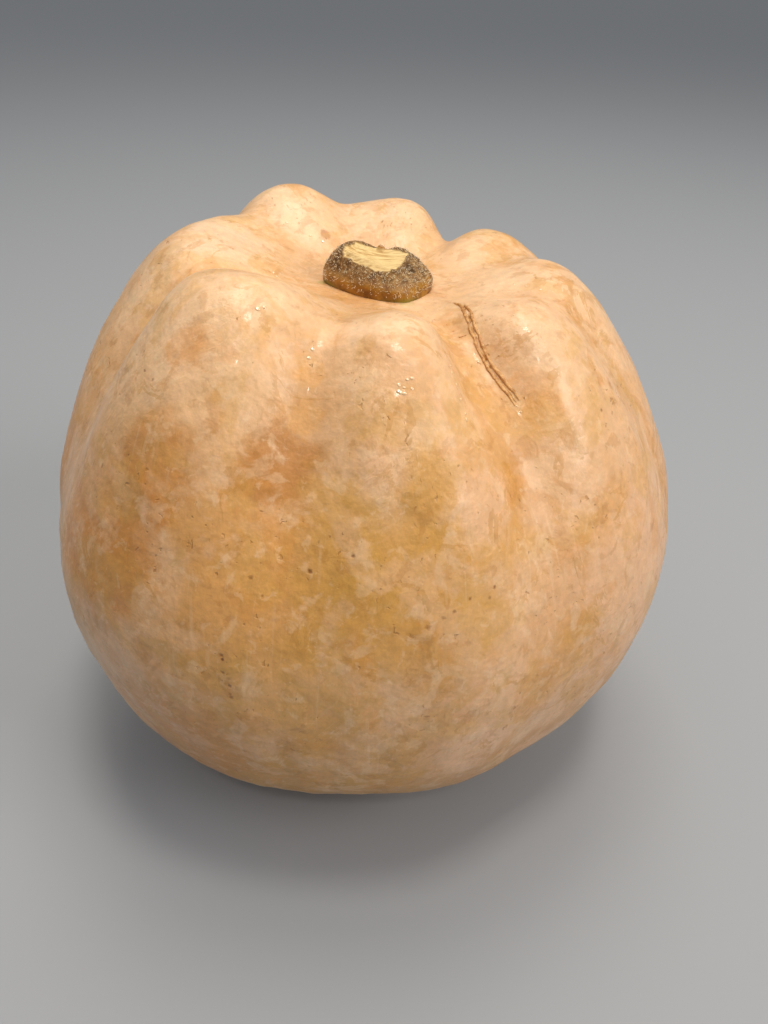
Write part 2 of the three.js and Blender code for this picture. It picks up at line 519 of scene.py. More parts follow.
@dataclass(frozen=True)
class RindFinish:
    """Ripe rind of a round moschata squash.

    A thin natural wax gives a satin gloss. The ground colour is ochre tan under a paler, pinkish
    bloom that has worn off in ragged patches, with orange where the sun ripened it. Heights are in
    millimetres above the surface that the squash stands on.
    """

    ground: str = "#dfa562"
    bloom: str = "#edc094"
    # pale is also laid over the top of the fruit as painted light from above.
    pale: str = "#f6d2a9"
    orange: str = "#d58f3d"
    gold: str = "#d8a452"
    # The grooves' colour: partly their own browner tint, partly painted shade.
    valley_tint_and_shade: str = "#c28b50"
    # foot darkens the rind towards the bottom: painted shade.
    foot: str = "#a9702f"
    fleck: str = "#b5762f"
    speck: str = "#7d4416"
    stain_edge: str = "#c98f42"
    rubbed: str = "#f3d2a8"
    # Heights of the paler top (painted light from above) and of the darker bottom (painted shade).
    painted_light_heights: tuple[float, float] = (118, 162)
    painted_shade_heights: tuple[float, float] = (90, 15)
    roughness: float = 0.40
    seed: int = 3

    def build(self, rind: Rind) -> bpy.types.Material:
        """Make the material.

        Args:
            rind: finds where the marks lie.

        Returns:
            The rind material.
        """
        material, shader = new_material("waxy_squash_rind")
        tree = material.node_tree
        place = add_node(tree, "TexCoord").outputs["Object"]
        grown = add_node(tree, "Attribute", attribute_name="grown").outputs["Vector"]
        colour = self._ground(tree, place)
        colour = self._clouds(tree, place, colour, rind)
        colour = self._mottling(tree, place, colour)
        colour = self._fine_shade(tree, place, colour)
        colour, dents = self._wear(tree, place, grown, colour)
        colour, pits = self._specks(tree, place, colour, rind)
        tree.links.new(colour, shader.inputs["Base Color"])
        self._gloss(tree, place, shader)
        self._relief(tree, place, grown, (dents, pits), shader)
        return material

    def _ground(self, tree: Tree, place: Socket) -> Socket:
        """Ochre with broad clouds of bloom, orange and gold; painted light makes the top paler and painted
        shade the bottom darker, and the grooves are darker, partly their own tint and partly painted
        shade.

        Args:
            tree: node tree to add to.
            place: coordinates in metres.

        Returns:
            The colour.
        """
        height = add_node(tree, "SeparateXYZ", {0: place}).outputs["Z"]
        # Painted light: paler towards the top. Painted shade: darker towards the bottom.
        crown, foot = (add_node(tree, "MapRange", {
            "Value": height, "From Min": start * MM, "From Max": full * MM, "To Max": most,
        }, interpolation_type="SMOOTHSTEP").outputs[0] for (start, full), most in (
            (self.painted_light_heights, 0.7), (self.painted_shade_heights, 0.6)))
        # Grooves are coloured darker by their depth, partly their own tint and partly painted shade.
        valley_tint_and_shade = add_node(tree, "Attribute", attribute_name="valley_tint_and_shade").outputs["Fac"]
        sunk = add_node(tree, "MapRange", {
            "Value": valley_tint_and_shade, "From Min": 0.1, "From Max": 1.0, "To Max": 0.55,
        }).outputs[0]
        broad = (
            (Patches(55, 0.42, 0.62, 0.8, detail=3), self.bloom),
            (Patches(44, 0.52, 0.68, 0.7, detail=5, seed=0.31, squeeze=0.6), self.orange),
            (Patches(30, 0.54, 0.70, 0.45, detail=5, seed=0.77), self.gold),
        )
        layers = [(patches.share(tree, place), tone) for patches, tone in broad]
        return layered(tree, self.ground, [
            *layers, (crown, self.pale), (foot, self.foot), (sunk, self.valley_tint_and_shade),
        ])

    def _clouds(self, tree: Tree, place: Socket, colour: Socket, rind: Rind) -> Socket:
        """Lay the placed clouds, with edges torn at 12 mm, or at 3 mm for the smallest.

        Args:
            tree: node tree to add to.
            place: coordinates in metres.
            colour: the colour under them.
            rind: finds the skin under each cloud.

        Returns:
            The colour.
        """
        fine, coarse = (add_node(tree, "TexNoise", {
            "Vector": place, "Scale": per_mm(size), "Detail": 5.0, "Roughness": 0.65,
        }).outputs["Fac"] for size in (3, 12))
        layers = []
        for cloud in CLOUDS:
            spot, _ = rind.place(cloud.at, cloud.seen)
            grain = coarse if cloud.radius > 5 else fine
            share = CLOUD_EDGE.share(tree, place, spot, cloud.radius * MM, cloud.strength, grain)
            layers.append((share, cloud.colour))
        return layered(tree, colour, layers)

    def _mottling(self, tree: Tree, place: Socket, colour: Socket) -> Socket:
        """Lay patches of 3.5 to 18 mm with torn edges, then the brown rims of old water stains.

        Args:
            tree: node tree to add to.
            place: coordinates in metres.
            colour: the colour under them.

        Returns:
            The colour.
        """
        mottles = (
            (Patches(18, 0.50, 0.60, 0.45, seed=0.11), self.bloom),
            (Patches(15, 0.52, 0.60, 0.36, seed=0.92), self.gold),
            (Patches(13, 0.53, 0.62, 0.30, seed=0.47), self.orange),
            (Patches(9, 0.54, 0.62, 0.32, seed=0.83), self.pale),
            (Patches(6, 0.57, 0.64, 0.28, seed=0.29), self.fleck),
            (Patches(3.5, 0.58, 0.65, 0.28, seed=0.61), self.rubbed),
        )
        colour = layered(tree, colour, [(patches.share(tree, place), tone) for patches, tone in mottles])
        stain = add_node(tree, "TexNoise", {
            "Vector": place, "Scale": per_mm(22), "Detail": 5.0, "Roughness": 0.6, "Distortion": 0.8,
        })
        rim = add_node(tree, "Math", {0: stain.outputs["Fac"], 1: 0.53, 2: 0.018}, operation="COMPARE")
        fading = Patches(16, 0.48, 0.60, 0.42, detail=3, seed=0.71).share(tree, place)
        share = add_node(tree, "Math", {0: rim.outputs[0], 1: fading}, operation="MULTIPLY")
        return layered(tree, colour, [(share.outputs[0], self.stain_edge)])

    @staticmethod
    def _fine_shade(tree: Tree, place: Socket, colour: Socket) -> Socket:
        """Make the colour a little darker and lighter every 2.4 mm.

        Args:
            tree: node tree to add to.
            place: coordinates in metres.
            colour: the colour to change.

        Returns:
            The colour.
        """
        mottle = add_node(tree, "TexNoise", {
            "Vector": place, "Scale": per_mm(2.4), "Detail": 4.0, "Roughness": 0.7,
        })
        shade = add_node(tree, "MapRange", {
            "Value": mottle.outputs["Fac"], "From Min": 0.3, "From Max": 0.7,
            "To Min": 0.90, "To Max": 1.08,
        }).outputs[0]
        tint = add_node(tree, "CombineColor", {0: shade, 1: shade, 2: shade})
        return add_node(tree, "Mix", {
            0: 1.0, 6: colour, 7: tint.outputs[0],
        }, data_type="RGBA", blend_type="MULTIPLY").outputs[2]

    def _wear(self, tree: Tree, place: Socket, grown: Socket, colour: Socket) -> tuple[Socket, Socket]:
        """Lay pale streaks along the ribs, short brown dents, and scuffs combed across the ribs.

        Args:
            tree: node tree to add to.
            place: coordinates in metres.
            grown: coordinates that follow the ribs, in metres.
            colour: the colour under them.

        Returns:
            The colour, and how far the dents go in, with the scuffs standing out.
        """
        along = add_node(tree, "Mapping", {"Vector": grown, "Scale": (1, 1, 0.08)}).outputs[0]
        short = add_node(tree, "Mapping", {
            "Vector": grown, "Rotation": (0.5, 0.3, 0.7), "Scale": (1, 0.3, 1),
        }).outputs[0]
        combed = add_node(tree, "Mapping", {
            "Vector": place, "Rotation": (0.0, -0.95, 0.0), "Scale": (8, 1, 1),
        }, vector_type="TEXTURE").outputs[0]
        worn = (  # each mark, the coordinates it follows, and where it comes
            (Patches(2.4, 0.54, 0.66, detail=4), along, Patches(26, 0.50, 0.62, 0.24, 3, 0.19)),
            (Patches(1.5, 0.66, 0.72, detail=2, seed=0.53), short, Patches(20, 0.48, 0.56, 1, 2, 0.37)),
            (Patches(1.7, 0.50, 0.64, detail=3, seed=0.23), combed, Patches(30, 0.53, 0.64, 1, 3, 0.67)),
        )
        streaks, dents, scuffs = (add_node(tree, "Math", {
            0: marks.share(tree, drawn), 1: where.share(tree, place),
        }, operation="MULTIPLY").outputs[0] for marks, drawn, where in worn)
        tinted_dents = add_node(tree, "Math", {0: dents, 1: 0.45}, operation="MULTIPLY").outputs[0]
        tinted_scuffs = add_node(tree, "Math", {0: scuffs, 1: 0.18}, operation="MULTIPLY").outputs[0]
        colour = layered(tree, colour, [
            (streaks, self.rubbed), (tinted_dents, self.fleck), (tinted_scuffs, self.rubbed),
        ])
        relief = add_node(tree, "Math", {0: scuffs, 1: -0.3, 2: dents}, operation="MULTIPLY_ADD")
        return colour, relief.outputs[0]

    def _specks(self, tree: Tree, place: Socket, colour: Socket, rind: Rind) -> tuple[Socket, Socket]:
        """Lay brown specks, strewn and placed, each with a ragged edge.

        Args:
            tree: node tree to add to.
            place: coordinates in metres.
            colour: the colour under them.
            rind: finds the skin under each placed speck.

        Returns:
            The colour, and the specks' share.
        """
        cells = add_node(tree, "TexVoronoi", {"Vector": place, "Scale": per_mm(9), "Randomness": 1.0})
        chosen = add_node(tree, "SeparateColor", {0: cells.outputs["Color"]})
        size = add_node(tree, "MapRange", {
            "Value": chosen.outputs[0], "From Min": 0.80, "From Max": 1.0, "To Max": 0.08,
        })
        gap = add_node(tree, "Math", {
            0: size.outputs[0], 1: cells.outputs["Distance"],
        }, operation="SUBTRACT")
        strewn = add_node(tree, "Math", {0: gap.outputs[0], 1: 9.0}, operation="MULTIPLY", use_clamp=True)
        share = add_node(tree, "Math", {0: strewn.outputs[0], 1: 0.4}, operation="MULTIPLY").outputs[0]
        ragged = add_node(tree, "TexNoise", {
            "Vector": place, "Scale": per_mm(0.9), "Detail": 3.0,
        }).outputs["Fac"]
        chance = random.Random(self.seed)
        for run in SPECK_RUNS:
            for at in run.places(chance):
                spot, _ = rind.place(at, Seen.FRONT)
                radius = chance.uniform(*run.radius) * MM
                near = SPECK_EDGE.share(tree, place, spot, radius, chance.uniform(*run.strength), ragged)
                share = add_node(tree, "Math", {0: share, 1: near}, operation="MAXIMUM").outputs[0]
        return layered(tree, colour, [(share, self.speck)]), share

    def _gloss(self, tree: Tree, place: Socket, shader: bpy.types.Node) -> None:
        """Give it satin wax, a little duller where it is rubbed, over flesh that lets light in.

        Args:
            tree: node tree to add to.
            place: coordinates in metres.
            shader: the material's shader.
        """
        worn = add_node(tree, "TexNoise", {
            "Vector": place, "Scale": per_mm(12), "Detail": 5.0, "Roughness": 0.65,
        })
        rough = add_node(tree, "MapRange", {
            "Value": worn.outputs["Fac"], "From Min": 0.3, "From Max": 0.7,
            "To Min": self.roughness - 0.08, "To Max": self.roughness + 0.14,
        })
        tree.links.new(rough.outputs[0], shader.inputs["Roughness"])
        set_values(shader, {
            "IOR": 1.45, "Coat Weight": 0.18, "Coat Roughness": 0.09, "Subsurface Weight": 0.08,
            "Subsurface Radius": (1.0, 0.5, 0.2), "Subsurface Scale": 4 * MM,
        })

    @staticmethod
    def _relief(tree: Tree, place: Socket, grown: Socket, hollows: tuple[Socket, Socket],
                shader: bpy.types.Node) -> None:
        """Raise pores, soft dimples and lines along the ribs, and sink dents and pits.

        Args:
            tree: node tree to add to.
            place: coordinates in metres.
            grown: coordinates that follow the ribs, in metres.
            hollows: the dents' share and the pits' share.
            shader: the material's shader.
        """
        dents, pits = hollows
        along = add_node(tree, "Mapping", {"Vector": grown, "Scale": (1, 1, 0.1)}).outputs[0]
        layers = [(dents, -0.16), (pits, -0.15)]
        grains = ((place, 1.3, 0.12), (place, 4.5, 0.30), (place, 10, 0.5), (along, 3, 0.07))
        for where, size, depth in grains:
            grain = add_node(tree, "TexNoise", {
                "Vector": where, "Scale": per_mm(size), "Detail": 3.0, "Roughness": 0.55,
            })
            layers.append((grain.outputs["Fac"], depth))
        height = 0.0
        for layer, depth in layers:  # depths in millimetres
            height = add_node(tree, "Math", {
                0: layer, 1: depth, 2: height,
            }, operation="MULTIPLY_ADD").outputs[0]
        bump = add_node(tree, "Bump", {"Height": height, "Strength": 1.0, "Distance": MM})
        tree.links.new(bump.outputs[0], shader.inputs["Normal"])


@dataclass(frozen=True)
class StemFinish:
    """Dry squash stem: shiny golden-brown collar, dull grey-brown bark, straw-coloured cut."""

    collar: str = "#ad7c2a"
    # The collar's darker tone is its colour in shade, laid in random patches: painted shade.
    collar_shaded: str = "#784c12"
    knot: str = "#b9782f"
    bark: str = "#9f7743"
    bark_dark: str = "#5b3e1d"
    fuzz: str = "#dcc9a0"
    cut: str = "#e8cb8e"
    cut_line: str = "#b98d4c"
    green: str = "#7b7d22"

    def build(self) -> bpy.types.Material:
        """Make the material, which reads the stem's own cut, level, stain, hollow and knot attributes.

        Returns:
            The stem material.
        """
        material, shader = new_material("dry_squash_stem")
        tree = material.node_tree
        place = add_node(tree, "TexCoord").outputs["Object"]
        cut, level, stain, hollow, knot = (
            add_node(tree, "Attribute", attribute_name=name).outputs["Fac"]
            for name in ("cut", "level", "stain", "hollow", "knot"))
        across = add_node(tree, "Mapping", {"Vector": place, "Scale": (0.12, 1, 1)}).outputs[0]
        grains = (
            (place, 1.8, 5.0, 0.7), (place, 0.7, 2.0, 0.8), (place, 4, 4.0, 0.6), (across, 0.9, 4.0, 0.65),
        )
        coarse, fuzz, broad, fibres = (add_node(tree, "TexNoise", {
            "Vector": where, "Scale": per_mm(size), "Detail": detail, "Roughness": roughness,
        }).outputs["Fac"] for where, size, detail, roughness in grains)
        hairy = add_node(tree, "MapRange", {
            "Value": fuzz, "From Min": 0.58, "From Max": 0.68, "To Max": 0.8,
        }).outputs[0]
        bark = two_tone(tree, coarse, self.bark_dark, self.bark, 0.38, 0.62)
        bark = layered(tree, bark, [(hairy, self.fuzz)])
        wavy = add_node(tree, "Math", {0: broad, 1: 0.5, 2: level}, operation="MULTIPLY_ADD").outputs[0]
        upper = add_node(tree, "MapRange", {"Value": wavy, "From Min": 0.52, "From Max": 0.72}).outputs[0]
        stained = add_node(tree, "Math", {0: stain, 1: 0.75}, operation="MULTIPLY").outputs[0]
        # Painted shade: the hollow by the cut is darkened with bark_dark.
        shadow = add_node(tree, "Math", {0: hollow, 1: 0.7}, operation="MULTIPLY").outputs[0]
        # The collar mixes its own colour with its colour in shade, as painted shade in 4 mm patches.
        colour = layered(tree, two_tone(tree, broad, self.collar_shaded, self.collar, 0.35, 0.6), [
            (upper, bark), (stained, self.green), (knot, self.knot), (shadow, self.bark_dark),
            (cut, two_tone(tree, fibres, self.cut_line, self.cut, 0.33, 0.55)),
        ])
        tree.links.new(colour, shader.inputs["Base Color"])
        dry = add_node(tree, "MapRange", {"Value": upper, "To Min": 0.38, "To Max": 0.85}).outputs[0]
        dry = add_node(tree, "Mix", {0: cut, 2: dry, 3: 0.7}, data_type="FLOAT").outputs[0]
        tree.links.new(dry, shader.inputs["Roughness"])
        rough_bark = add_node(tree, "Math", {0: coarse, 1: 0.5, 2: fuzz}, operation="MULTIPLY_ADD")
        relief = broad
        for share, over in ((upper, rough_bark.outputs[0]), (cut, fibres)):
            relief = add_node(tree, "Mix", {0: share, 2: relief, 3: over}, data_type="FLOAT").outputs[0]
        bump = add_node(tree, "Bump", {"Height": relief, "Strength": 0.9, "Distance": 0.5 * MM})
        tree.links.new(bump.outputs[0], shader.inputs["Normal"])
        return material


@dataclass(frozen=True)
class CorkFinish:
    """Cork that healed over a wound or a fallen flower: grainy brown, smooth where it is young."""

    name: str = "healed_cork"
    light: str = "#e0b072"
    dark: str = "#b1773a"
    roughness: float = 0.32

    def build(self) -> bpy.types.Material:
        """Make the material.

        Returns:
            The cork material.
        """
        material, shader = new_material(self.name)
        tree = material.node_tree
        place = add_node(tree, "TexCoord").outputs["Object"]
        grain = add_node(tree, "TexNoise", {
            "Vector": place, "Scale": per_mm(1.3), "Detail": 4.0, "Roughness": 0.7,
        }).outputs["Fac"]
        colour = two_tone(tree, grain, self.dark, self.light, 0.38, 0.62)
        tree.links.new(colour, shader.inputs["Base Color"])
        set_values(shader, {"Roughness": self.roughness})
        bump = add_node(tree, "Bump", {"Height": grain, "Strength": 0.8, "Distance": 0.3 * MM})
        tree.links.new(bump.outputs[0], shader.inputs["Normal"])
        return material


@dataclass(frozen=True)
class SapFinish:
    """Dried sap: pale amber, hard and very glossy, so that each bead glints."""

    amber: str = "#f0c690"
    clouded: str = "#f6d3a4"

    def build(self) -> bpy.types.Material:
        """Make the material.

        Returns:
            The sap material.
        """
        material, shader = new_material("dried_sap")
        tree = material.node_tree
        place = add_node(tree, "TexCoord").outputs["Object"]
        haze = add_node(tree, "TexNoise", {"Vector": place, "Scale": per_mm(0.6), "Detail": 2.0})
        colour = layered(tree, self.amber, [(haze.outputs["Fac"], self.clouded)])
        tree.links.new(colour, shader.inputs["Base Color"])
        set_values(shader, {
            "Roughness": 0.10, "IOR": 1.6, "Coat Weight": 1.0, "Coat Roughness": 0.03, "Coat IOR": 1.8,
        })
        return material


@dataclass(frozen=True)
class BristleFinish:
    """Dry plant hair: pale straw, a little darker here and there."""

    straw: str = "#efe3c6"
    shaded: str = "#a98f63"

    def build(self) -> bpy.types.Material:
        """Make the material.

        Returns:
            The bristle material.
        """
        material, shader = new_material("dry_stem_bristle")
        tree = material.node_tree
        place = add_node(tree, "TexCoord").outputs["Object"]
        tone = add_node(tree, "TexNoise", {"Vector": place, "Scale": per_mm(2), "Detail": 1.0})
        share = add_node(tree, "MapRange", {"Value": tone.outputs["Fac"], "To Min": 0.75, "To Max": 1.1})
        colour = layered(tree, self.shaded, [(share.outputs[0], self.straw)])
        tree.links.new(colour, shader.inputs["Base Color"])
        set_values(shader, {"Roughness": 0.6})
        return material


# ---------------------------------------------------------------- the fruit

@dataclass(frozen=True)
class Rib:
    """A groove between two lobes that the skin deepens.

    at is its direction beside the stem and twist its drift down to the foot, in degrees. depth and
    width are in millimetres, and fade is the way from stem to foot where it has run out.
    """

    at: float
    twist: float
    depth: float
    width: float
    fade: float


@dataclass
class Fruit:
    """The grown fruit: lobes and hollow from its CAD solid, with the skin's creases and lumps.

    Sizes are in millimetres. A rib of groove_full or deeper is marked for the finish at groove_mark, and
    the finish darkens marked grooves with their own tint and painted shade.
    """

    ribs: tuple[Rib, ...] = (
        Rib(23, -2, 1.0, 8, 0.60), Rib(63, 20, 1.2, 9, 0.65), Rib(105, 7, 1.2, 9, 0.62),
        Rib(142, 8, 1.2, 9, 0.62), Rib(207, 3, 1.6, 10, 0.75), Rib(259, -2, 3.3, 9, 0.55),
        Rib(299, 4, 2.8, 12, 0.66), Rib(340, 0, 1.5, 8, 0.58), Rib(231, 6, 0.7, 8, 0.50),
        Rib(280, 3, 0.4, 6, 0.42), Rib(319, 4, 0.6, 9, 0.46),
    )
    twist_pivot: float = 0.2
    refinement: int = 2
    lump_size: float = 38
    lump_height: float = 0.9
    dimple_size: float = 13
    dimple_height: float = 0.28
    rib_line_size: float = 8
    rib_line_height: float = 0.3
    rib_line_squeeze: float = 0.12
    groove_full: float = 2.5
    groove_mark: float = 0.8
    foot_rim: float = 9
    scar_recess_radius: float = 11
    scar_recess_depth: float = 2.2
    scar_recess_reach: float = 10
    belt_passes: int = 14
    valley_passes: int = 60
    valley_full: float = 6

    def __post_init__(self) -> None:
        """Read the belt and the crown's lean from the CAD boxes of the fruit and the stem."""
        self.low, self.high = (np.array(corner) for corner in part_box("fruit"))
        stem_low, stem_high = (np.array(corner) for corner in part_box("stem"))
        self.belt = self.high[2] / 2
        self.lean = (stem_low[:2] + stem_high[:2]) / 2 / stem_low[2]

    def build(self) -> bpy.types.Object:
        """Build the fruit's mesh.

        Returns:
            The fruit, without its finish.
        """
        piece = copy_of_node("fruit", "squash_fruit")
        self._mark_valleys(piece)
        self._round_belt(piece)
        subdivide(piece, self.refinement)
        self._shape_skin(piece)
        set_attribute(piece.data, "grown", self._growth(vertex_places(piece.data)))
        smooth_shading(piece)
        return piece

    @staticmethod
    def _relaxed(mesh: bpy.types.Mesh, passes: int) -> np.ndarray:
        """Move each vertex half-way to the mean of its neighbours, again and again.

        Args:
            mesh: the mesh to read, which stays as it is.
            passes: how many times.

        Returns:
            A row of x, y, z for each vertex, in metres.
        """
        places = vertex_places(mesh)
        edges = np.array([edge.vertices[:] for edge in mesh.edges])
        count = np.bincount(edges.ravel(), minlength=len(places))[:, None]
        for _ in range(passes):
            total = np.zeros_like(places)
            np.add.at(total, edges[:, 0], places[edges[:, 1]])
            np.add.at(total, edges[:, 1], places[edges[:, 0]])
            places = (places + total / count) / 2
        return places

    def _round_belt(self, piece: bpy.types.Object) -> None:
        """Round the skin's belt, so that shoulder and flank meet without an angle.

        Args:
            piece: the fruit.
        """
        mesh = piece.data
        places = vertex_places(mesh)
        normals = vertex_normals(mesh)
        shift = self._relaxed(mesh, self.belt_passes) - places
        near = 1 - rise(0.15 * self.belt, 0.75 * self.belt, np.abs(places[:, 2] - self.belt))
        lost = (shift * normals).sum(axis=1) @ near / near.sum()
        set_places(mesh, places + (shift - normals * lost) * near[:, None])

    def _mark_valleys(self, piece: bpy.types.Object) -> None:
        """Store how deep each point lies below the smoothed-out skin, from 0 to 1.

        Args:
            piece: the fruit.
        """
        mesh = piece.data
        below = self._relaxed(mesh, self.valley_passes) - vertex_places(mesh)
        depth = (below * vertex_normals(mesh)).sum(axis=1) / MM
        # The finish darkens the grooves by this share: their own tint and painted shade.
        set_attribute(mesh, "valley_tint_and_shade", np.clip(depth / self.valley_full, 0, 1))

    def _polar(self, places: np.ndarray) -> tuple[np.ndarray, np.ndarray, np.ndarray]:
        """Say where places lie around the leaning core and down the fruit.

        Args:
            places: rows of x, y, z in metres.

        Returns:
            Direction in radians, distance from the core in metres, and way from stem to foot.
        """
        core = places[:, 2:] * self.lean
        out = places[:, :2] - core
        around = np.arctan2(out[:, 1], out[:, 0])
        radius = np.hypot(out[:, 0], out[:, 1])
        down = np.degrees(np.arctan2(radius, places[:, 2] - self.belt))
        way = np.interp(down, (0, 14, 32, 90, 168, 180), (0, 0.06, 0.18, 0.52, 0.92, 1))
        return around, radius, way

    def _creases(self, places: np.ndarray) -> tuple[np.ndarray, np.ndarray]:
        """Work out how the ribs press the skin in.

        Args:
            places: rows of x, y, z in metres.

        Returns:
            How far in millimetres, and a mark from 0 to 1 for the finish.
        """
        around, radius, way = self._polar(places)
        depth = np.zeros(len(places))
        mark = np.zeros(len(places))
        for rib in self.ribs:
            middle = np.radians(rib.at + rib.twist * (way - self.twist_pivot))
            aside = (around - middle + np.pi) % (2 * np.pi) - np.pi
            width = rib.width * (0.75 + way)
            across = np.exp(-(aside * radius / MM / width) ** 2)
            along = rise(0.05, 0.16, way) * (1 - rise(0.28, rib.fade, way))
            depth += rib.depth * across * along
            mark = np.maximum(mark, min(rib.depth / self.groove_full, 1) * across ** 2 * along)
        return depth, mark

    def _shape_skin(self, piece: bpy.types.Object) -> None:
        """Press ribs, soft lumps, dimples and faint lines into the skin, kept inside the CAD box.

        Args:
            piece: the fruit.
        """
        mesh = piece.data
        places = vertex_places(mesh)
        normals = vertex_normals(mesh)
        drawn = self._growth(places) * (1, 1, self.rib_line_squeeze)
        creases, mark = self._creases(places)
        lift = self.lump_height * noise_at(places, self.lump_size)
        lift += self.dimple_height * noise_at(places, self.dimple_size, 3)
        away_from_stem = rise(0.1, 0.3, self._polar(places)[2])
        lift += self.rib_line_height * noise_at(drawn, self.rib_line_size, 2) * away_from_stem
        room = np.min(np.hstack([places[:, :2] - self.low[:2], self.high - places]), axis=1) / MM
        lift = np.minimum(lift, 0.5 * room) - creases
        above_foot = rise(0, self.foot_rim * MM, places[:, 2])
        places += normals * (lift * above_foot * MM)[:, None]
        from_axis = np.hypot(places[:, 0], places[:, 1]) / MM
        recess = self.scar_recess_depth * (1 - rise(
            self.scar_recess_radius * 0.35, self.scar_recess_radius, from_axis))
        places[:, 2] += np.where(places[:, 2] < self.scar_recess_reach * MM, recess * MM, 0)
        set_places(mesh, places)
        valley_tint_and_shade = mesh.attributes["valley_tint_and_shade"]
        depth = np.array([item.value for item in valley_tint_and_shade.data])
        valley_tint_and_shade.data.foreach_set("value", np.maximum(depth, self.groove_mark * mark))

    @staticmethod
    def _growth(places: np.ndarray) -> np.ndarray:
        """Give places coordinates that follow the ribs.

        Args:
            places: rows of x, y, z in metres.

        Returns:
            Rows of two coordinates around the fruit and one down it, in metres.
        """
        centre = np.array([(CAD_BOX[0][i] + CAD_BOX[1][i]) / 2 for i in range(3)])
        out = places - centre
        around = np.arctan2(out[:, 1], out[:, 0])
        down = np.arctan2(np.hypot(out[:, 0], out[:, 1]), out[:, 2])
        radius = centre[2]
        return np.stack([radius * np.cos(around), radius * np.sin(around), radius * down], axis=1)


@dataclass
class SkinScar:
    """A healed scratch: two thin ridges of cork side by side, with a short spur. Millimetres."""

    path: tuple[Point, ...] = (
        (14.5, -18.5), (15.8, -23), (16.9, -29), (17.7, -34.5), (19.3, -40.3), (21.8, -44.1),
        (24.4, -47.1), (26.8, -49.5), (29.0, -52.2),
    )
    spur: tuple[Point, ...] = ((14.6, -35.8), (16.4, -35.6), (18.3, -36.4))
    ridge_gap: float = 1.1
    ridge_radius: float = 0.46
    bed_radius: float = 0.85
    wander: float = 0.15
    grain_size: float = 1.3
    grain_height: float = 0.14
    seed: int = 4

    def build(self, rind: Rind) -> bpy.types.Object:
        """Build the scar on the skin.

        Args:
            rind: finds the skin under each point of the path.

        Returns:
            The scar, without its finish.
        """
        chance = random.Random(self.seed)
        ridges = [
            self._ridge(rind, self.path, -self.ridge_gap / 2, self.ridge_radius, 0.2, chance),
            self._ridge(rind, self.path[1:], self.ridge_gap / 2, self.ridge_radius, 0.2, chance),
            self._ridge(rind, self.path, 0, self.bed_radius, 0.9, chance),
            self._ridge(rind, self.spur, 0, self.ridge_radius, 0.3, chance),
        ]
        select_only(*ridges)
        bpy.ops.object.convert(target="MESH")
        bpy.ops.object.join()
        scar = bpy.context.view_layer.objects.active
        scar.name = "skin_scar"
        scar.data.name = "skin_scar"
        mesh = scar.data
        places = vertex_places(mesh)
        grain = self.grain_height * MM * noise_at(places, self.grain_size, 2)
        places += vertex_normals(mesh) * grain[:, None]
        set_places(mesh, places)
        smooth_shading(scar, 60)
        return scar

    def _ridge(self, rind: Rind, path: tuple[Point, ...], aside: float, radius: float, sunk: float,
               chance: random.Random) -> bpy.types.Object:
        """Lay one ridge of uneven thickness along the path.

        Args:
            rind: finds the skin under the path.
            path: points seen from above, in millimetres.
            aside: how far the ridge runs beside the path.
            radius: its mean radius.
            sunk: share of its radius that its middle lies under the skin.
            chance: source of its unevenness.

        Returns:
            The ridge as a curve.
        """
        bpy.ops.curve.primitive_nurbs_path_add()
        ridge = bpy.context.view_layer.objects.active
        curve = ridge.data
        curve.splines.clear()
        spots = self._spots(path)
        spline = curve.splines.new("NURBS")
        spline.points.add(len(spots) - 1)
        for index, (spot, side) in enumerate(spots):
            wander = self.wander * chance.uniform(-1, 1)
            place, normal = rind.place(tuple(spot + side * (aside + wander)), Seen.ABOVE)
            ends = min(index, len(spots) - 1 - index) / 2
            thick = radius * min(1, 0.35 + ends) * chance.uniform(0.7, 1.2)
            place = place - normal * sunk * thick * MM
            spline.points[index].co = (*place, 1)
            spline.points[index].radius = thick
        spline.use_endpoint_u = True
        spline.order_u = 3
        curve.bevel_depth = MM
        curve.bevel_resolution = 2
        curve.use_fill_caps = True
        return ridge

    @staticmethod
    def _spots(path: tuple[Point, ...], step: float = 1.6) -> list[tuple[Vector, Vector]]:
        """Space points along the path.

        Args:
            path: points seen from above, in millimetres.
            step: about how far apart they are, in millimetres.

        Returns:
            Each point with the direction square to the path there.
        """
        spots = []
        for start, end in zip(path, path[1:]):
            start, end = Vector(start), Vector(end)
            along = (end - start).normalized()
            count = max(1, round((end - start).length / step))
            for index in range(count):
                spots.append((start.lerp(end, index / count), Vector((-along.y, along.x))))
        return spots


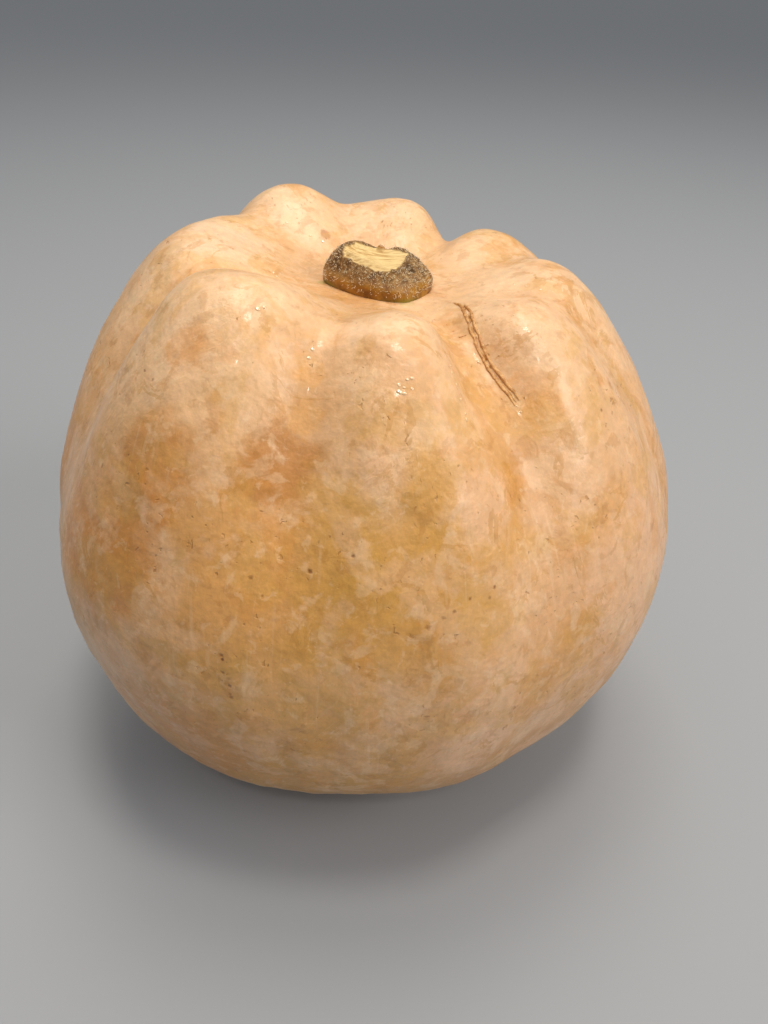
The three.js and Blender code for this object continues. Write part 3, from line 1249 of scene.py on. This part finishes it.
@dataclass
class SapBeads:
    """Dried sap on the skin: small flat beads, strewn in short runs on the shoulders.

    Places are seen from above, and sizes are in millimetres. flatness is a bead's height as a share
    of its width.
    """

    runs: tuple[Run, ...] = (
        Run((1, -66), (3, -66), 10, 1.4, (0.25, 0.55)),
        Run((10.5, -54.5), (15.3, -64.5), 7, 0.5, (0.25, 0.55)),
        Run((-18, -57), (-18.5, -58.5), 2, 0.2, (0.3, 0.5)),
        Run((30, -11), (36.5, -15), 3, 0.6, (0.3, 0.5)),
        Run((-29, -55.5), (-28, -55), 2, 0.3, (0.4, 0.6)),
        Run((-33, 21.5), (-22, 18.5), 4, 0.6, (0.3, 0.55)),
        Run((-33, -9), (-32, -10), 2, 0.4, (0.3, 0.5)),
        Run((26.5, -49), (29, -52), 4, 0.4, (0.25, 0.45)),
        Run((16.5, -28), (18, -35.5), 4, 0.6, (0.25, 0.4)),
    )
    flatness: float = 0.32
    seed: int = 7

    def build(self, rind: Rind) -> bpy.types.Object:
        """Build all the beads as one piece.

        Args:
            rind: finds the skin under each bead.

        Returns:
            The beads, without their finish.
        """
        chance = random.Random(self.seed)
        beads = []
        for run in self.runs:
            for at in run.places(chance):
                spot, normal = rind.place(at, Seen.ABOVE)
                bpy.ops.mesh.primitive_ico_sphere_add(subdivisions=3, radius=MM)
                bead = bpy.context.view_layer.objects.active
                turn = normal.to_track_quat("Z", "Y").to_matrix().to_4x4()
                size = chance.uniform(*run.radius)
                form = Matrix.Diagonal((size, size * chance.uniform(0.7, 1.0), size * self.flatness, 1))
                bead.data.transform(Matrix.Translation(spot) @ turn @ form)
                beads.append(bead)
        select_only(*beads)
        bpy.ops.object.join()
        piece = bpy.context.view_layer.objects.active
        piece.name = "sap_beads"
        piece.data.name = "sap_beads"
        smooth_shading(piece)
        return piece


@dataclass
class BlossomScar:
    """The corky button under the fruit where the flower fell off.

    Sizes are in millimetres, and fold_depth is a share of the radius.
    """

    radius: float = 6.5
    depth: float = 1.1
    lobes: int = 5
    fold_depth: float = 0.07
    grain_size: float = 1.6
    grain_height: float = 0.18

    def build(self, fruit: Fruit) -> bpy.types.Object:
        """Build the button in the recess of the fruit's foot.

        Args:
            fruit: gives the recess that it sits in.

        Returns:
            The button, without its finish.
        """
        roof = fruit.scar_recess_depth * MM
        bpy.ops.object.select_all(action="DESELECT")
        bpy.ops.mesh.primitive_circle_add(
            vertices=40, radius=self.radius * MM, fill_type="NGON", location=(0, 0, roof + 0.3 * MM))
        button = bpy.context.view_layer.objects.active
        button.name = "blossom_scar"
        button.data.name = "blossom_scar"
        bpy.ops.object.transform_apply(location=True, rotation=True, scale=True)
        bpy.ops.object.mode_set(mode="EDIT")
        bpy.ops.mesh.select_all(action="SELECT")
        wall = (0, 0, -self.depth * 0.6 * MM)
        bpy.ops.mesh.extrude_region_move(TRANSFORM_OT_translate={"value": wall})
        for inset, drop in ((1.0, 0.4), (1.6, 0.0), (1.2, -0.5), (1.0, -0.2)):
            bpy.ops.mesh.inset(thickness=inset * MM, depth=0)
            bpy.ops.transform.translate(value=(0, 0, -drop * self.depth * MM))
        bpy.ops.mesh.poke()
        bpy.ops.mesh.select_all(action="SELECT")
        bpy.ops.mesh.normals_make_consistent(inside=False)
        bpy.ops.object.mode_set(mode="OBJECT")
        subdivide(button, 2)
        self._roughen(button)
        smooth_shading(button, 60)
        return button

    def _roughen(self, button: bpy.types.Object) -> None:
        """Give the button its star of folds and its grain.

        Args:
            button: the button.
        """
        mesh = button.data
        places = vertex_places(mesh)
        around = np.arctan2(places[:, 1], places[:, 0])
        out = np.hypot(places[:, 0], places[:, 1]) / (self.radius * MM)
        star = 1 + self.fold_depth * np.cos(self.lobes * around + 0.6) * out
        places[:, :2] *= star[:, None]
        grain = self.grain_height * MM * noise_at(places, self.grain_size, 3)
        places += vertex_normals(mesh) * grain[:, None]
        set_places(mesh, places)


# ---------------------------------------------------------------- the stem

@dataclass
class StemStub:
    """The stub of the cut stem: flared collar, lumpy bark and a torn, dished cut.

    Sizes are in millimetres and directions in degrees around the stem's axis, from +X. stains are
    the green stains at the foot, each by its direction and how wide it spreads.
    """

    refinement: int = 3
    collar_bulge: float = 0.5
    shoulder_bulge: float = 1.1
    shoulder_at: float = 165
    shoulder_spread: float = 32
    stains: tuple[Point, ...] = ((187, 14), (300, 16))
    lump_size: float = 5
    lump_height: float = 0.55
    grain_size: float = 1.1
    grain_height: float = 0.22
    fibre_size: float = 0.8
    fibre_height: float = 0.12
    cut_sink: float = 0.1
    highest_lift: float = 0.2
    cut_outline: tuple[Point, ...] = (
        (-9.0, -1.3), (-5.2, -4.6), (-0.5, -8.0), (3.2, -8.8), (5.6, -6.3), (6.7, -1.4), (8.4, 4.2),
        (3.2, 7.2), (-1.0, 7.2), (-6.4, 6.2), (-8.8, 2.4),
    )
    cut_tear: float = 0.32
    hollow_at: Point = (8.2, -3.6)
    hollow_radius: float = 2.5
    hollow_depth: float = 1.7
    foot_sink: float = 0.5
    knot_at: Point = (0.6, 7.2)
    knot_radius: float = 1.5
    knot_height: float = 1.0

    def __post_init__(self) -> None:
        """Read the stem's place and height from its CAD solid."""
        low, high = (Vector(corner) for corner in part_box("stem"))
        self.foot = low.z
        self.height = high.z - low.z

    def build(self, axis: Vector) -> bpy.types.Object:
        """Build the stub.

        Args:
            axis: a point on the stem's axis, at its foot.

        Returns:
            The stub, without its finish.
        """
        self.axis = axis
        piece = copy_of_node("stem", "squash_stem")
        self._crease_rim(piece)
        subdivide(piece, self.refinement)
        self._shape(piece)
        smooth_shading(piece)
        return piece

    def _crease_rim(self, piece: bpy.types.Object) -> None:
        """Keep the rim of the cut crisp when the mesh is refined.

        Args:
            piece: the stub.
        """
        select_only(piece)
        bpy.ops.object.mode_set(mode="EDIT")
        bpy.ops.mesh.select_all(action="DESELECT")
        bpy.ops.mesh.select_mode(type="EDGE")
        bpy.ops.mesh.edges_select_sharp(sharpness=math.radians(35))
        bpy.ops.transform.edge_crease(value=0.75)
        bpy.ops.mesh.select_mode(type="VERT")
        bpy.ops.object.mode_set(mode="OBJECT")

    def _shape(self, piece: bpy.types.Object) -> None:
        """Shape collar, shoulder, bark, cut face and hollow, and store what the finish reads.

        Args:
            piece: the stub.
        """
        mesh = piece.data
        places = vertex_places(mesh)
        normals = vertex_normals(mesh)
        local = (places - np.array(self.axis)) / MM
        level = np.clip((places[:, 2] - self.foot) / self.height, 0, 1)
        around = np.degrees(np.arctan2(local[:, 1], local[:, 0])) % 360
        edge = self._inside(local[:, :2]) + self.cut_tear * noise_at(places, 1.5, 3)
        cut = rise(-0.15, 0.25, edge) * rise(0.3, 0.5, level)
        side = 1 - cut
        lift = self.collar_bulge * np.exp(-((level - 0.25) / 0.16) ** 2)
        near_shoulder = self._facing(around, self.shoulder_at, self.shoulder_spread)
        lift += self.shoulder_bulge * near_shoulder * rise(0.35, 0.75, level)
        lift += self.lump_height * noise_at(places, self.lump_size, 2) * rise(0.05, 0.3, level)
        lift += self.grain_height * noise_at(places, self.grain_size, 3) * rise(0.3, 0.6, level)
        shift = normals * (lift * side)[:, None]
        shift[:, 2] = np.minimum(shift[:, 2], self.highest_lift)
        fibres = noise_at(places * (0.15, 1, 1), self.fibre_size, 2)
        shift[:, 2] += cut * (self.fibre_height * fibres - self.cut_sink)
        away = np.hypot(local[:, 0] - self.hollow_at[0], local[:, 1] - self.hollow_at[1])
        dent = 1 - rise(0.2 * self.hollow_radius, self.hollow_radius, away)
        shift[:, 2] -= self.hollow_depth * dent * rise(0.3, 0.6, level)
        shift[:, 2] -= self.foot_sink * (1 - rise(0.0, 0.25, level))
        away = np.hypot(local[:, 0] - self.knot_at[0], local[:, 1] - self.knot_at[1])
        knot = (1 - rise(0.3 * self.knot_radius, self.knot_radius, away)) * rise(0.4, 0.7, level)
        shift[:, 2] += self.knot_height * knot
        set_places(mesh, places + shift * MM)
        set_attribute(mesh, "cut", cut * (1 - knot))
        set_attribute(mesh, "knot", knot)
        # The finish paints shade into the hollow with this share.
        set_attribute(mesh, "hollow", dent)
        set_attribute(mesh, "level", level)
        stain = np.max([self._facing(around, *stain) for stain in self.stains], axis=0)
        set_attribute(mesh, "stain", stain * (1 - rise(0.02, 0.16, level)))

    @staticmethod
    def _facing(around: np.ndarray, direction: float, spread: float) -> np.ndarray:
        """Share that falls from 1 in the direction towards 0 away from it, all in degrees."""
        return np.exp(-(((around - direction + 180) % 360 - 180) / spread) ** 2)

    def _inside(self, points: np.ndarray) -> np.ndarray:
        """Measure how far points lie inside the cut's outline.

        Args:
            points: rows of x and y from the stem's axis, in millimetres.

        Returns:
            The distance in millimetres, negative outside the outline.
        """
        corners = np.array(self.cut_outline)
        depth = np.full(len(points), np.inf)
        for start, end in zip(corners, np.roll(corners, -1, axis=0)):
            along = (end - start) / np.linalg.norm(end - start)
            inward = np.array((-along[1], along[0]))
            depth = np.minimum(depth, (points - start) @ inward)
        return depth


@dataclass
class Bristles:
    """Short dry hairs on the stem's bark. Sizes are in millimetres."""

    count: int = 1300
    length: tuple[float, float] = (0.35, 1.15)
    radius: float = 0.06
    seed: int = 11

    def build(self, stem: bpy.types.Object) -> bpy.types.Object:
        """Build all the hairs as one piece.

        Args:
            stem: the finished stub that they stand on.

        Returns:
            The hairs, without their finish.
        """
        chance = random.Random(self.seed)
        pattern = self._one_hair()
        level = [item.value for item in stem.data.attributes["level"].data]
        cut = [item.value for item in stem.data.attributes["cut"].data]
        able = [i for i in range(len(level)) if cut[i] < 0.1 and 0.12 < level[i] < 0.98]
        hairs = []
        for _ in range(self.count):
            vertex = stem.data.vertices[chance.choice(able)]
            lean = Vector([chance.uniform(-1.1, 1.1) for _ in range(3)])
            way = (vertex.normal + lean).normalized()
            turn = way.to_track_quat("Z", "Y").to_matrix().to_4x4()
            size = Matrix.Diagonal((1, 1, chance.uniform(*self.length), 1))
            hair = pattern.copy()
            hair.data = pattern.data.copy()
            hair.data.transform(Matrix.Translation(vertex.co - way * 0.1 * MM) @ turn @ size)
            bpy.context.scene.collection.objects.link(hair)
            hairs.append(hair)
        bpy.data.objects.remove(pattern)
        select_only(*hairs)
        bpy.ops.object.join()
        bristles = bpy.context.view_layer.objects.active
        bristles.name = "stem_bristles"
        bristles.data.name = "stem_bristles"
        return bristles

    def _one_hair(self) -> bpy.types.Object:
        """Model one hair, 1 mm long, standing on the origin along +Z and bent at its middle.

        Returns:
            The hair.
        """
        bpy.ops.object.select_all(action="DESELECT")
        bpy.ops.mesh.primitive_cone_add(
            vertices=4, radius1=self.radius * MM, radius2=0.25 * self.radius * MM, depth=MM,
            location=(0, 0, 0.5 * MM))
        hair = bpy.context.view_layer.objects.active
        bpy.ops.object.transform_apply(location=True, rotation=True, scale=True)
        bpy.ops.object.mode_set(mode="EDIT")
        bpy.ops.mesh.select_all(action="SELECT")
        bpy.ops.mesh.bisect(plane_co=(0, 0, 0.55 * MM), plane_no=(0, 0, 1))
        bpy.ops.transform.translate(value=(0.12 * MM, 0, 0))
        bpy.ops.object.mode_set(mode="OBJECT")
        return hair


# ---------------------------------------------------------------- the set

@dataclass(frozen=True)
class SoftLight:
    """A square soft light. Place and aim are in metres and power in watts."""

    name: str
    place: tuple[float, float, float]
    aim: tuple[float, float, float]
    side: float
    power: float
    colour: str = "#ffffff"

    def build(self) -> None:
        """Add the light."""
        data = bpy.data.lights.new(self.name, "AREA")
        data.size = self.side
        data.energy = self.power
        data.color = linear(self.colour)[:3]
        light = bpy.data.objects.new(self.name, data)
        light.location = self.place
        aim = Vector(self.aim) - Vector(self.place)
        light.rotation_euler = aim.to_track_quat("-Z", "Y").to_euler()
        bpy.context.scene.collection.objects.link(light)


@dataclass
class Studio:
    """Plain pale floor, soft lights, a broad canopy of light over all of it, and the camera.

    The camera stands close, as a hand-held one, and looks down at the squash. Its place is in
    millimetres, angles are in degrees, and the floor's side is in metres.
    """

    camera_place: tuple[float, float, float] = (-1.5, -209.0, 219.2)
    camera_pitch: float = 35.4
    camera_roll: float = 2.3
    focal_length: float = 27.04
    floor_side: float = 60.0
    floor_colour: str = "#9da1a6"
    world_colour: str = "#e9eaec"
    world_strength: float = 0.13
    canopy_strength: float = 0.95
    canopy_spread: float = 100.0
    canopy_tilt: tuple[float, float] = (-10.0, -8.0)

    def build(self) -> None:
        """Build the set."""
        self._floor()
        self._camera()
        for light in (
            SoftLight("key", (0.0, 0.33, 1.5), (0, 0, 0.1), 0.65, 7.8, "#fff4e4"),
            SoftLight("front_top", (0.12, -0.22, 1.5), (0, 0, 0.1), 0.24, 5.8, "#fff6ea"),
            SoftLight("glint", (0.06, -0.85, 1.3), (0, 0, 0.15), 0.06, 1.4, "#fff8f0"),
            SoftLight("side", (1.25, -0.6, 1.0), (0, 0, 0.08), 0.8, 12.3, "#fff8f2"),
        ):
            light.build()
        self._canopy()
        bpy.context.scene.view_settings.view_transform = "Standard"
        world = bpy.data.worlds.new("studio_air")
        bpy.context.scene.world = world
        world.use_nodes = True
        air = world.node_tree.nodes["Background"]
        set_values(air, {"Color": self.world_colour, "Strength": self.world_strength})

    def _canopy(self) -> None:
        """Hang the broad soft light that reaches all of the floor."""
        data = bpy.data.lights.new("canopy", "SUN")
        data.energy = self.canopy_strength
        data.angle = math.radians(self.canopy_spread)
        canopy = bpy.data.objects.new("canopy", data)
        canopy.rotation_euler = (*(math.radians(tilt) for tilt in self.canopy_tilt), 0)
        bpy.context.scene.collection.objects.link(canopy)

    def _floor(self) -> None:
        """Lay the floor and dress it."""
        bpy.ops.object.select_all(action="DESELECT")
        bpy.ops.mesh.primitive_plane_add(size=self.floor_side, location=(0, 0, 0))
        floor = bpy.context.view_layer.objects.active
        floor.name = "studio_floor"
        material, shader = new_material("studio_floor")
        set_values(shader, {"Base Color": self.floor_colour, "Roughness": 0.75})
        floor.data.materials.append(material)

    def _camera(self) -> None:
        """Set up the camera at its place, pitch and roll."""
        data = bpy.data.cameras.new("camera")
        data.lens = self.focal_length
        data.sensor_width = 36.0
        data.clip_start = 0.01
        camera = bpy.data.objects.new("camera", data)
        tilt = Matrix.Rotation(math.radians(90 - self.camera_pitch), 4, "X")
        roll = Matrix.Rotation(math.radians(self.camera_roll), 4, "Z")
        camera.matrix_world = Matrix.Translation(Vector(self.camera_place) * MM) @ tilt @ roll
        bpy.context.scene.collection.objects.link(camera)
        bpy.context.scene.camera = camera


def dress(piece: bpy.types.Object, material: bpy.types.Material) -> None:
    """Give a piece its finish and the body that it rides on.

    Args:
        piece: the finished piece.
        material: its finish.
    """
    piece.data.materials.clear()
    piece.data.materials.append(material)
    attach(piece, "root")
    log.info("built %s: %d faces", piece.name, len(piece.data.polygons))


def main() -> None:
    """Build the set, the fruit, its scars, the stem and its bristles, in that order."""
    logging.basicConfig(level=logging.INFO, format="%(name)s: %(message)s")
    Studio().build()

    fruit = Fruit()
    fruit_piece = fruit.build()
    rind = Rind(fruit_piece)
    low, high = (Vector(corner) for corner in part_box("stem"))
    stem_foot = Vector(((low.x + high.x) / 2, (low.y + high.y) / 2, low.z))
    dress(fruit_piece, RindFinish().build(rind))
    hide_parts("fruit")

    dress(SkinScar().build(rind), CorkFinish().build())
    dress(SapBeads().build(rind), SapFinish().build())
    button_finish = CorkFinish(name="blossom_cork", light="#9c7a52", dark="#4f3822", roughness=0.8)
    dress(BlossomScar().build(fruit), button_finish.build())

    stem = StemStub().build(stem_foot)
    dress(stem, StemFinish().build())
    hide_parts("stem")
    dress(Bristles().build(stem), BristleFinish().build())

    bpy.context.view_layer.update()


if __name__ == "__main__":
    main()
